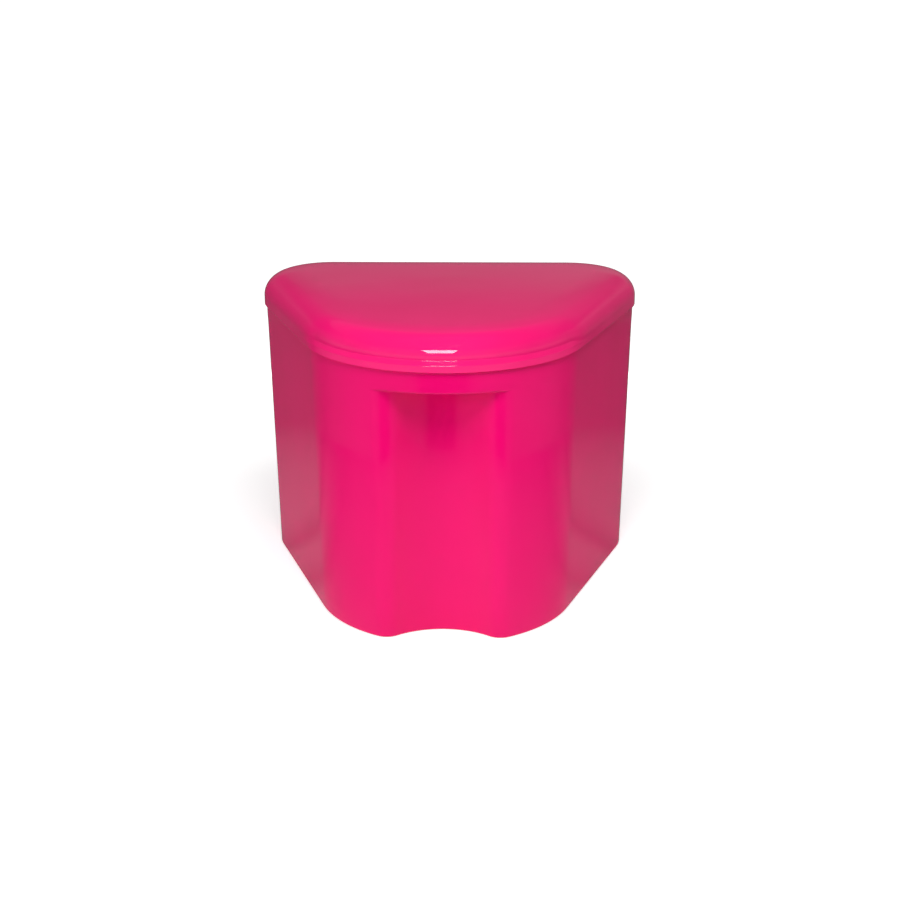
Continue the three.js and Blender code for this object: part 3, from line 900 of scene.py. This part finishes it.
def floorHoles():
    b = basket
    field = ring(basketWallInset(basketBottom) + b["wall"] + b["floorMargin"], basketBottom, True)
    width, pitch = b["floorSlotWidth"], b["floorSlotPitch"]
    between = 2 * halfDepth / (b["floorRibs"] + 1)
    ribs = [middleY - halfDepth + between * (i + 1) for i in range(b["floorRibs"])]
    perSide = math.floor(max(p.x for p in field) / pitch)
    holes = []
    for i in range(-perSide, perSide + 1):
        x = i * pitch
        spans = [reachAlongY(field, x + side * width / 2) for side in (-0.7, 0, 0.7)]
        low, high = max(s[0] for s in spans), min(s[1] for s in spans)
        edges = [low] + [y for r in ribs for y in (r - b["floorRib"] / 2, r + b["floorRib"] / 2)] + [high]
        for y0, y1 in zip(edges[::2], edges[1::2]):
            y0, y1 = max(y0, low), min(y1, high)
            if y1 - y0 > width:
                radius = width / 2
                hole = arcPoints(x, y1 - radius, radius, 0, math.pi, 14)
                holes.append(hole + arcPoints(x, y0 + radius, radius, math.pi, turn, 14))
    return holes


def applyBoolean(piece, other, operation):
    modifier = piece.modifiers.new("cut", "BOOLEAN")
    modifier.operation, modifier.solver, modifier.object = operation, "MANIFOLD", other
    bpy.context.view_layer.update()
    made = piece.evaluated_get(bpy.context.evaluated_depsgraph_get())
    data = bpy.data.meshes.new_from_object(made)
    piece.modifiers.clear()
    old = piece.data
    piece.data = data
    bpy.data.meshes.remove(old)
    bpy.data.objects.remove(other)


def flatAt(z):
    return Matrix.Translation((0, 0, z * metre))


def makeBasket():
    b = basket
    shell, joint = makeBasketWall()
    outline = [(p.x, p.y) for p in ring(joint - b["floorMargin"] / 5, 0, True)]
    middle = basketBottom + b["wall"] / 2
    floor = platePiece("basketFloor", [outline] + floorHoles(), b["wall"], b["floorRound"], flatAt(middle))
    applyBoolean(shell, floor, "UNION")
    reach = [(-halfWidth, bail["pegHole"]), (halfWidth, bail["pegHole"])]
    applyBoolean(shell, turnedAlongX(reach, bailY, bailZ, 40, "pegHoles"), "DIFFERENCE")
    smoothShading(shell.data, cutSharpDeg)
    finishPiece(shell, "basket", "strainer_basket", basketPlastic)


# The bail lies folded towards the front inside the basket's wall
bail = {
    "thickness": 2.4,
    "width": 3.0,
    "edgeRound": 0.7,
    "wallGap": 1.2,
    "frontGap": 2.5,
    "pegRadius": 1.1,
    "pegHole": 1.4,
    "pegRecess": 0.3,
    "pegRound": 0.3,
}


def makeBail():
    b, wall = bail, basket["wall"]
    cosine, sine = math.cos(taper), math.sin(taper)
    pivotY = bailY - middleY
    sideInset = basketWallInset(bailZ - b["thickness"]) + wall + b["wallGap"]
    sideLine = sideReach - sideInset
    frontLine = plan["fluteDepth"] - halfDepth + basketWallInset(bailZ) + wall + b["frontGap"]
    frontRound = frontRadius - sideInset
    follow = (frontY - frontRound * sine - frontLine) / (1 - sine)
    bend = max(follow, b["width"] + plan["leastRadius"])
    centreY = frontLine + bend
    centreX = (sideLine - bend + centreY * sine) / cosine
    rootX = (sideLine - b["width"] / 2 + pivotY * sine) / cosine
    end = arcPoints(rootX, pivotY, b["width"] / 2, math.pi - taper, -taper, 14)
    outer = arcPoints(centreX, centreY, bend, -taper, -quarter, 26)
    inner = arcPoints(centreX, centreY, bend - b["width"], -quarter, -taper, 26)
    right = inner + end + outer
    outline = right + [(-x, y) for x, y in reversed(right)]
    outline = [(x, y + middleY) for x, y in outline]
    strap = platePiece("basketBail", [outline], b["thickness"], b["edgeRound"], flatAt(bailZ), 5)
    wallX = (sideReach - basketWallInset(bailZ) + pivotY * sine) / cosine
    tip = wallX - b["pegRecess"]
    for side in (-1, 1):
        profile = [(side * rootX, b["pegRadius"])]
        for a in quarterSteps(4):
            x = tip - b["pegRound"] * (1 - math.sin(a))
            profile.append((side * x, b["pegRadius"] - b["pegRound"] * (1 - math.cos(a))))
        applyBoolean(strap, turnedAlongX(profile, bailY, bailZ, 32, "bailPeg"), "UNION")
    smoothShading(strap.data, cutSharpDeg)
    finishPiece(strap, "bail", "basket_bail", bailPlastic)


makeBasket()
makeBail()
print("basket and bail made")


# Plain pale floor and white world, where the floor keeps the case's shadow; the floor's white glow is weaker
# near the case, which paints a darker pool of shade round it
studio = {
    "floorSize": 6.0,
    "floorColour": (0.80, 0.80, 0.80),
    "floorRoughness": 0.9,
    "liftNear": 0.62,
    "liftFar": 1.0,
    "liftFrom": 0.06,
    "liftTo": 0.26,
    "worldStrength": 0.11,
}


def addWhiteFactor(nodes, links):
    path = nodes.new("ShaderNodeLightPath")
    total = path.outputs["Is Camera Ray"]
    for name in ("Is Glossy Ray", "Is Transmission Ray"):
        add = nodes.new("ShaderNodeMath")
        add.operation, add.use_clamp = "ADD", True
        links.new(total, add.inputs[0])
        links.new(path.outputs[name], add.inputs[1])
        total = add.outputs[0]
    return total


def makeWorld():
    world = bpy.data.worlds.new("studioWorld")
    bpy.context.scene.world = world
    world.use_nodes = True
    nodes, links = world.node_tree.nodes, world.node_tree.links
    nodes.clear()
    light, white = nodes.new("ShaderNodeBackground"), nodes.new("ShaderNodeBackground")
    light.inputs["Strength"].default_value = studio["worldStrength"]
    light.inputs["Color"].default_value = white.inputs["Color"].default_value = (1, 1, 1, 1)
    white.inputs["Strength"].default_value = 1
    mix, output = nodes.new("ShaderNodeMixShader"), nodes.new("ShaderNodeOutputWorld")
    links.new(addWhiteFactor(nodes, links), mix.inputs[0])
    links.new(light.outputs[0], mix.inputs[1])
    links.new(white.outputs[0], mix.inputs[2])
    links.new(mix.outputs[0], output.inputs["Surface"])


def stageObject(name, mesh, material):
    data = bpy.data.meshes.new(name)
    mesh.to_mesh(data)
    mesh.free()
    made = bpy.data.objects.new(name, data)
    bpy.context.scene.collection.objects.link(made)
    data.materials.append(material)
    return made


def makeFloor():
    mesh = bmesh.new()
    bmesh.ops.create_grid(mesh, x_segments=4, y_segments=4, size=studio["floorSize"] / 2)
    material, nodes, links, coords, shader = newMaterial("paleFloor")
    shader.inputs["Base Color"].default_value = (*studio["floorColour"], 1)
    shader.inputs["Roughness"].default_value = studio["floorRoughness"]
    shader.inputs["Specular IOR Level"].default_value = 0
    away = nodes.new("ShaderNodeVectorMath")
    away.operation = "LENGTH"
    links.new(coords.outputs["Object"], away.inputs[0])
    fade = [studio[k] for k in ("liftFrom", "liftTo", "liftNear", "liftFar")]
    # The glow grows from near the case to far away: the weaker glow round the case is painted shade
    lift = addRange(nodes, links, away.outputs["Value"], *fade)
    shown = addMath(nodes, links, "MULTIPLY", addWhiteFactor(nodes, links), lift)
    shader.inputs["Emission Color"].default_value = (1, 1, 1, 1)
    links.new(shown, shader.inputs["Emission Strength"])
    stageObject("floor", mesh, material)


# A grey for each place along a range, given as (place, grey) pairs
def addSteps(nodes, links, value, stops):
    low, high = stops[0][0], stops[-1][0]
    ramp = nodes.new("ShaderNodeValToRGB")
    marks = ramp.color_ramp.elements
    while len(marks) < len(stops):
        marks.new(0.5)
    for mark, (place, grey) in zip(marks, stops):
        mark.position = (place - low) / (high - low)
        mark.color = (grey, grey, grey, 1)
    links.new(addRange(nodes, links, value, low, high, 0, 1), ramp.inputs["Fac"])
    return ramp.outputs["Color"]


# Grey cards round the case that glow and are seen only in its gloss, so they paint its reflections: a
# painted sheet under it, a screen round it, a ceiling over it and a bright window card before it that paints
# the highlight on the lid's dome. Turns are degrees away from the front, heights and reaches metres.
cards = {
    "radius": 0.139,
    "height": 0.150,
    "sheetLift": 0.0004,
    "sheetGreys": [
        (0, 0.42), (32, 0.42), (46, 0.34), (64, 0.28), (78, 0.18),
        (92, 0.24), (101, 0.26), (108, 0.17), (118, 0.26), (180, 0.28),
    ],
    "sheetFade": [(0.045, 1.0), (0.070, 0.95), (0.095, 0.84), (0.121, 0.60), (0.139, 0.35)],
    "lowGreys": [
        (0, 0.01), (14, 0.01), (20, 0.15), (30, 0.19), (62, 0.21),
        (86, 0.18), (103, 0.10), (134, 0.10), (180, 0.12),
    ],
    "lowEnd": (0.034, 0.044),  # heights between which the low greys give way to the others
    "frontGreys": [
        (0.040, 0.0), (0.048, 0.90), (0.068, 0.90),
        (0.082, 0.55), (0.122, 0.50), (0.150, 0.36),
    ],
    "frontTurns": [(0, 1.0), (30, 1.0), (62, 0.65), (76, 0.65), (110, 0.0)],
    "backGreys": [
        (0.032, 0.0), (0.044, 0.16), (0.062, 0.17), (0.080, 0.19),
        (0.092, 0.265), (0.106, 0.145), (0.150, 0.150),
    ],
    "backTurns": [(0, 0.0), (76, 0.0), (110, 1.0), (180, 1.0)],
    "backAcross": [
        (-0.139, 0.58), (-0.100, 0.60), (-0.045, 0.95), (0.035, 1.06),
        (0.090, 1.25), (0.108, 1.02), (0.139, 1.0),
    ],
    "ceilingGreys": [(0, 0.36), (40, 0.34), (86, 0.22), (180, 0.20)],
    # The window card glows only in the gloss: it paints the white highlight on the lid's dome
    "highlightGlow": 17.0,
    "highlightReach": 0.128,
    "highlightCorners": [(-0.0223, 0.1007), (0.0160, 0.1020), (0.0221, 0.1332), (-0.0347, 0.1318)],
    "sides": 96,
}


# A card that glows with the given strength and shows only in reflections: a painted reflection
def paintedReflectionCard(name, mesh, makeStrength):
    material = bpy.data.materials.new(name)
    material.use_nodes = True
    nodes, links = material.node_tree.nodes, material.node_tree.links
    nodes.clear()
    glow, output = nodes.new("ShaderNodeEmission"), nodes.new("ShaderNodeOutputMaterial")
    coords = nodes.new("ShaderNodeTexCoord")
    makeStrength(nodes, links, coords, glow.inputs["Strength"])
    links.new(glow.outputs[0], output.inputs["Surface"])
    card = stageObject(name, mesh, material)
    card.visible_camera = card.visible_diffuse = card.visible_shadow = False
    card.visible_transmission = card.visible_volume_scatter = False


# How many degrees a place lies away from the front, and its x, y and z
def addTurn(nodes, links, coords):
    split = nodes.new("ShaderNodeSeparateXYZ")
    links.new(coords.outputs["Object"], split.inputs[0])
    backward = addMath(nodes, links, "MULTIPLY", split.outputs["Y"], -1)
    around = addMath(nodes, links, "ARCTAN2", split.outputs["X"], backward)
    away = addMath(nodes, links, "ABSOLUTE", around, 0)
    return addMath(nodes, links, "MULTIPLY", away, 180 / math.pi), split.outputs


def cardDisc(z):
    mesh = bmesh.new()
    bmesh.ops.create_circle(mesh, cap_ends=True, segments=cards["sides"], radius=cards["radius"])
    bmesh.ops.translate(mesh, vec=(0, middleY * metre, z), verts=mesh.verts)
    return mesh


def makeCards():
    c = cards

    def sheetStrength(nodes, links, coords, socket):
        around, _ = addTurn(nodes, links, coords)
        grey = addSteps(nodes, links, around, c["sheetGreys"])
        away = nodes.new("ShaderNodeVectorMath")
        away.operation = "LENGTH"
        links.new(coords.outputs["Object"], away.inputs[0])
        fade = addSteps(nodes, links, away.outputs["Value"], c["sheetFade"])
        links.new(addMath(nodes, links, "MULTIPLY", grey, fade), socket)

    def ceilingStrength(nodes, links, coords, socket):
        around, _ = addTurn(nodes, links, coords)
        links.new(addSteps(nodes, links, around, c["ceilingGreys"]), socket)

    def screenStrength(nodes, links, coords, socket):
        around, place = addTurn(nodes, links, coords)
        lowShare = addRange(nodes, links, place["Z"], *c["lowEnd"], 1, 0)
        shares = [("lowGreys", around, lowShare)]
        for name, across in (("front", None), ("back", "backAcross")):
            share = addSteps(nodes, links, around, c[name + "Turns"])
            if across:
                sideways = addSteps(nodes, links, place["X"], c[across])
                share = addMath(nodes, links, "MULTIPLY", share, sideways)
            shares.append((name + "Greys", place["Z"], share))
        total = 0
        for name, value, share in shares:
            part = addMath(nodes, links, "MULTIPLY", addSteps(nodes, links, value, c[name]), share)
            total = addMath(nodes, links, "ADD", total, part)
        links.new(total, socket)

    def highlightStrength(nodes, links, coords, socket):
        socket.default_value = c["highlightGlow"]

    paintedReflectionCard("paintedReflectionSheet", cardDisc(c["sheetLift"]), sheetStrength)
    paintedReflectionCard("paintedReflectionCeiling", cardDisc(c["height"]), ceilingStrength)
    mesh = bmesh.new()
    circle = arcPoints(0, middleY * metre, c["radius"], 0, turn, c["sides"])[:-1]
    joinRows(mesh, [[mesh.verts.new((x, y, z)) for x, y in circle] for z in (0, c["height"])])
    paintedReflectionCard("paintedReflectionScreen", mesh, screenStrength)
    # A glowing card before the case, seen only in the gloss, paints the highlight on the lid's dome
    mesh = bmesh.new()
    mesh.faces.new([mesh.verts.new((x, -c["highlightReach"], z)) for x, z in c["highlightCorners"]])
    paintedReflectionCard("paintedHighlightCard", mesh, highlightStrength)


# Soft studio lights, in metres and watts, which the gloss doesn't show
lights = {
    "overhead": {"place": (0.02, -0.15, 0.28), "aim": (0, 0, 0.05), "size": (0.12, 0.12), "watts": 0.585},
    "main": {"place": (0.02, -0.36, 0.28), "aim": (0, 0, 0.05), "size": (0.16, 0.16), "watts": 0.144},
    "left": {"place": (-0.35, -0.25, 0.15), "aim": (0, 0, 0.05), "size": (0.16, 0.16), "watts": 0.385},
    "lowFront": {"place": (0, -0.10, 0.010), "aim": (0, 0, 0.02), "size": (0.12, 0.014), "watts": 0.0075},
    "lowLeft": {"place": (-0.10, -0.03, 0.01), "aim": (0, 0, 0.02), "size": (0.09, 0.014), "watts": 0.0088},
    "lowRight": {"place": (0.145, -0.05, 0.012), "aim": (0, 0, 0.02), "size": (0.12, 0.016), "watts": 0.032},
    "lowBack": {"place": (0.0, 0.18, 0.012), "aim": (0, 0, 0.02), "size": (0.20, 0.016), "watts": 0.035},
}


def makeLights():
    for name, light in lights.items():
        data = bpy.data.lights.new(name + "Light", "AREA")
        data.energy, data.shape = light["watts"], "RECTANGLE"
        data.size, data.size_y = light["size"]
        made = bpy.data.objects.new(name + "Light", data)
        bpy.context.scene.collection.objects.link(made)
        made.location = light["place"]
        made.rotation_mode = "QUATERNION"
        made.rotation_quaternion = (Vector(light["aim"]) - Vector(light["place"])).to_track_quat("-Z", "Y")
        made.visible_glossy = made.visible_camera = False


makeWorld()
makeFloor()
makeCards()
makeLights()
bpy.context.scene.view_settings.view_transform = "Standard"
print("stage and lights set")
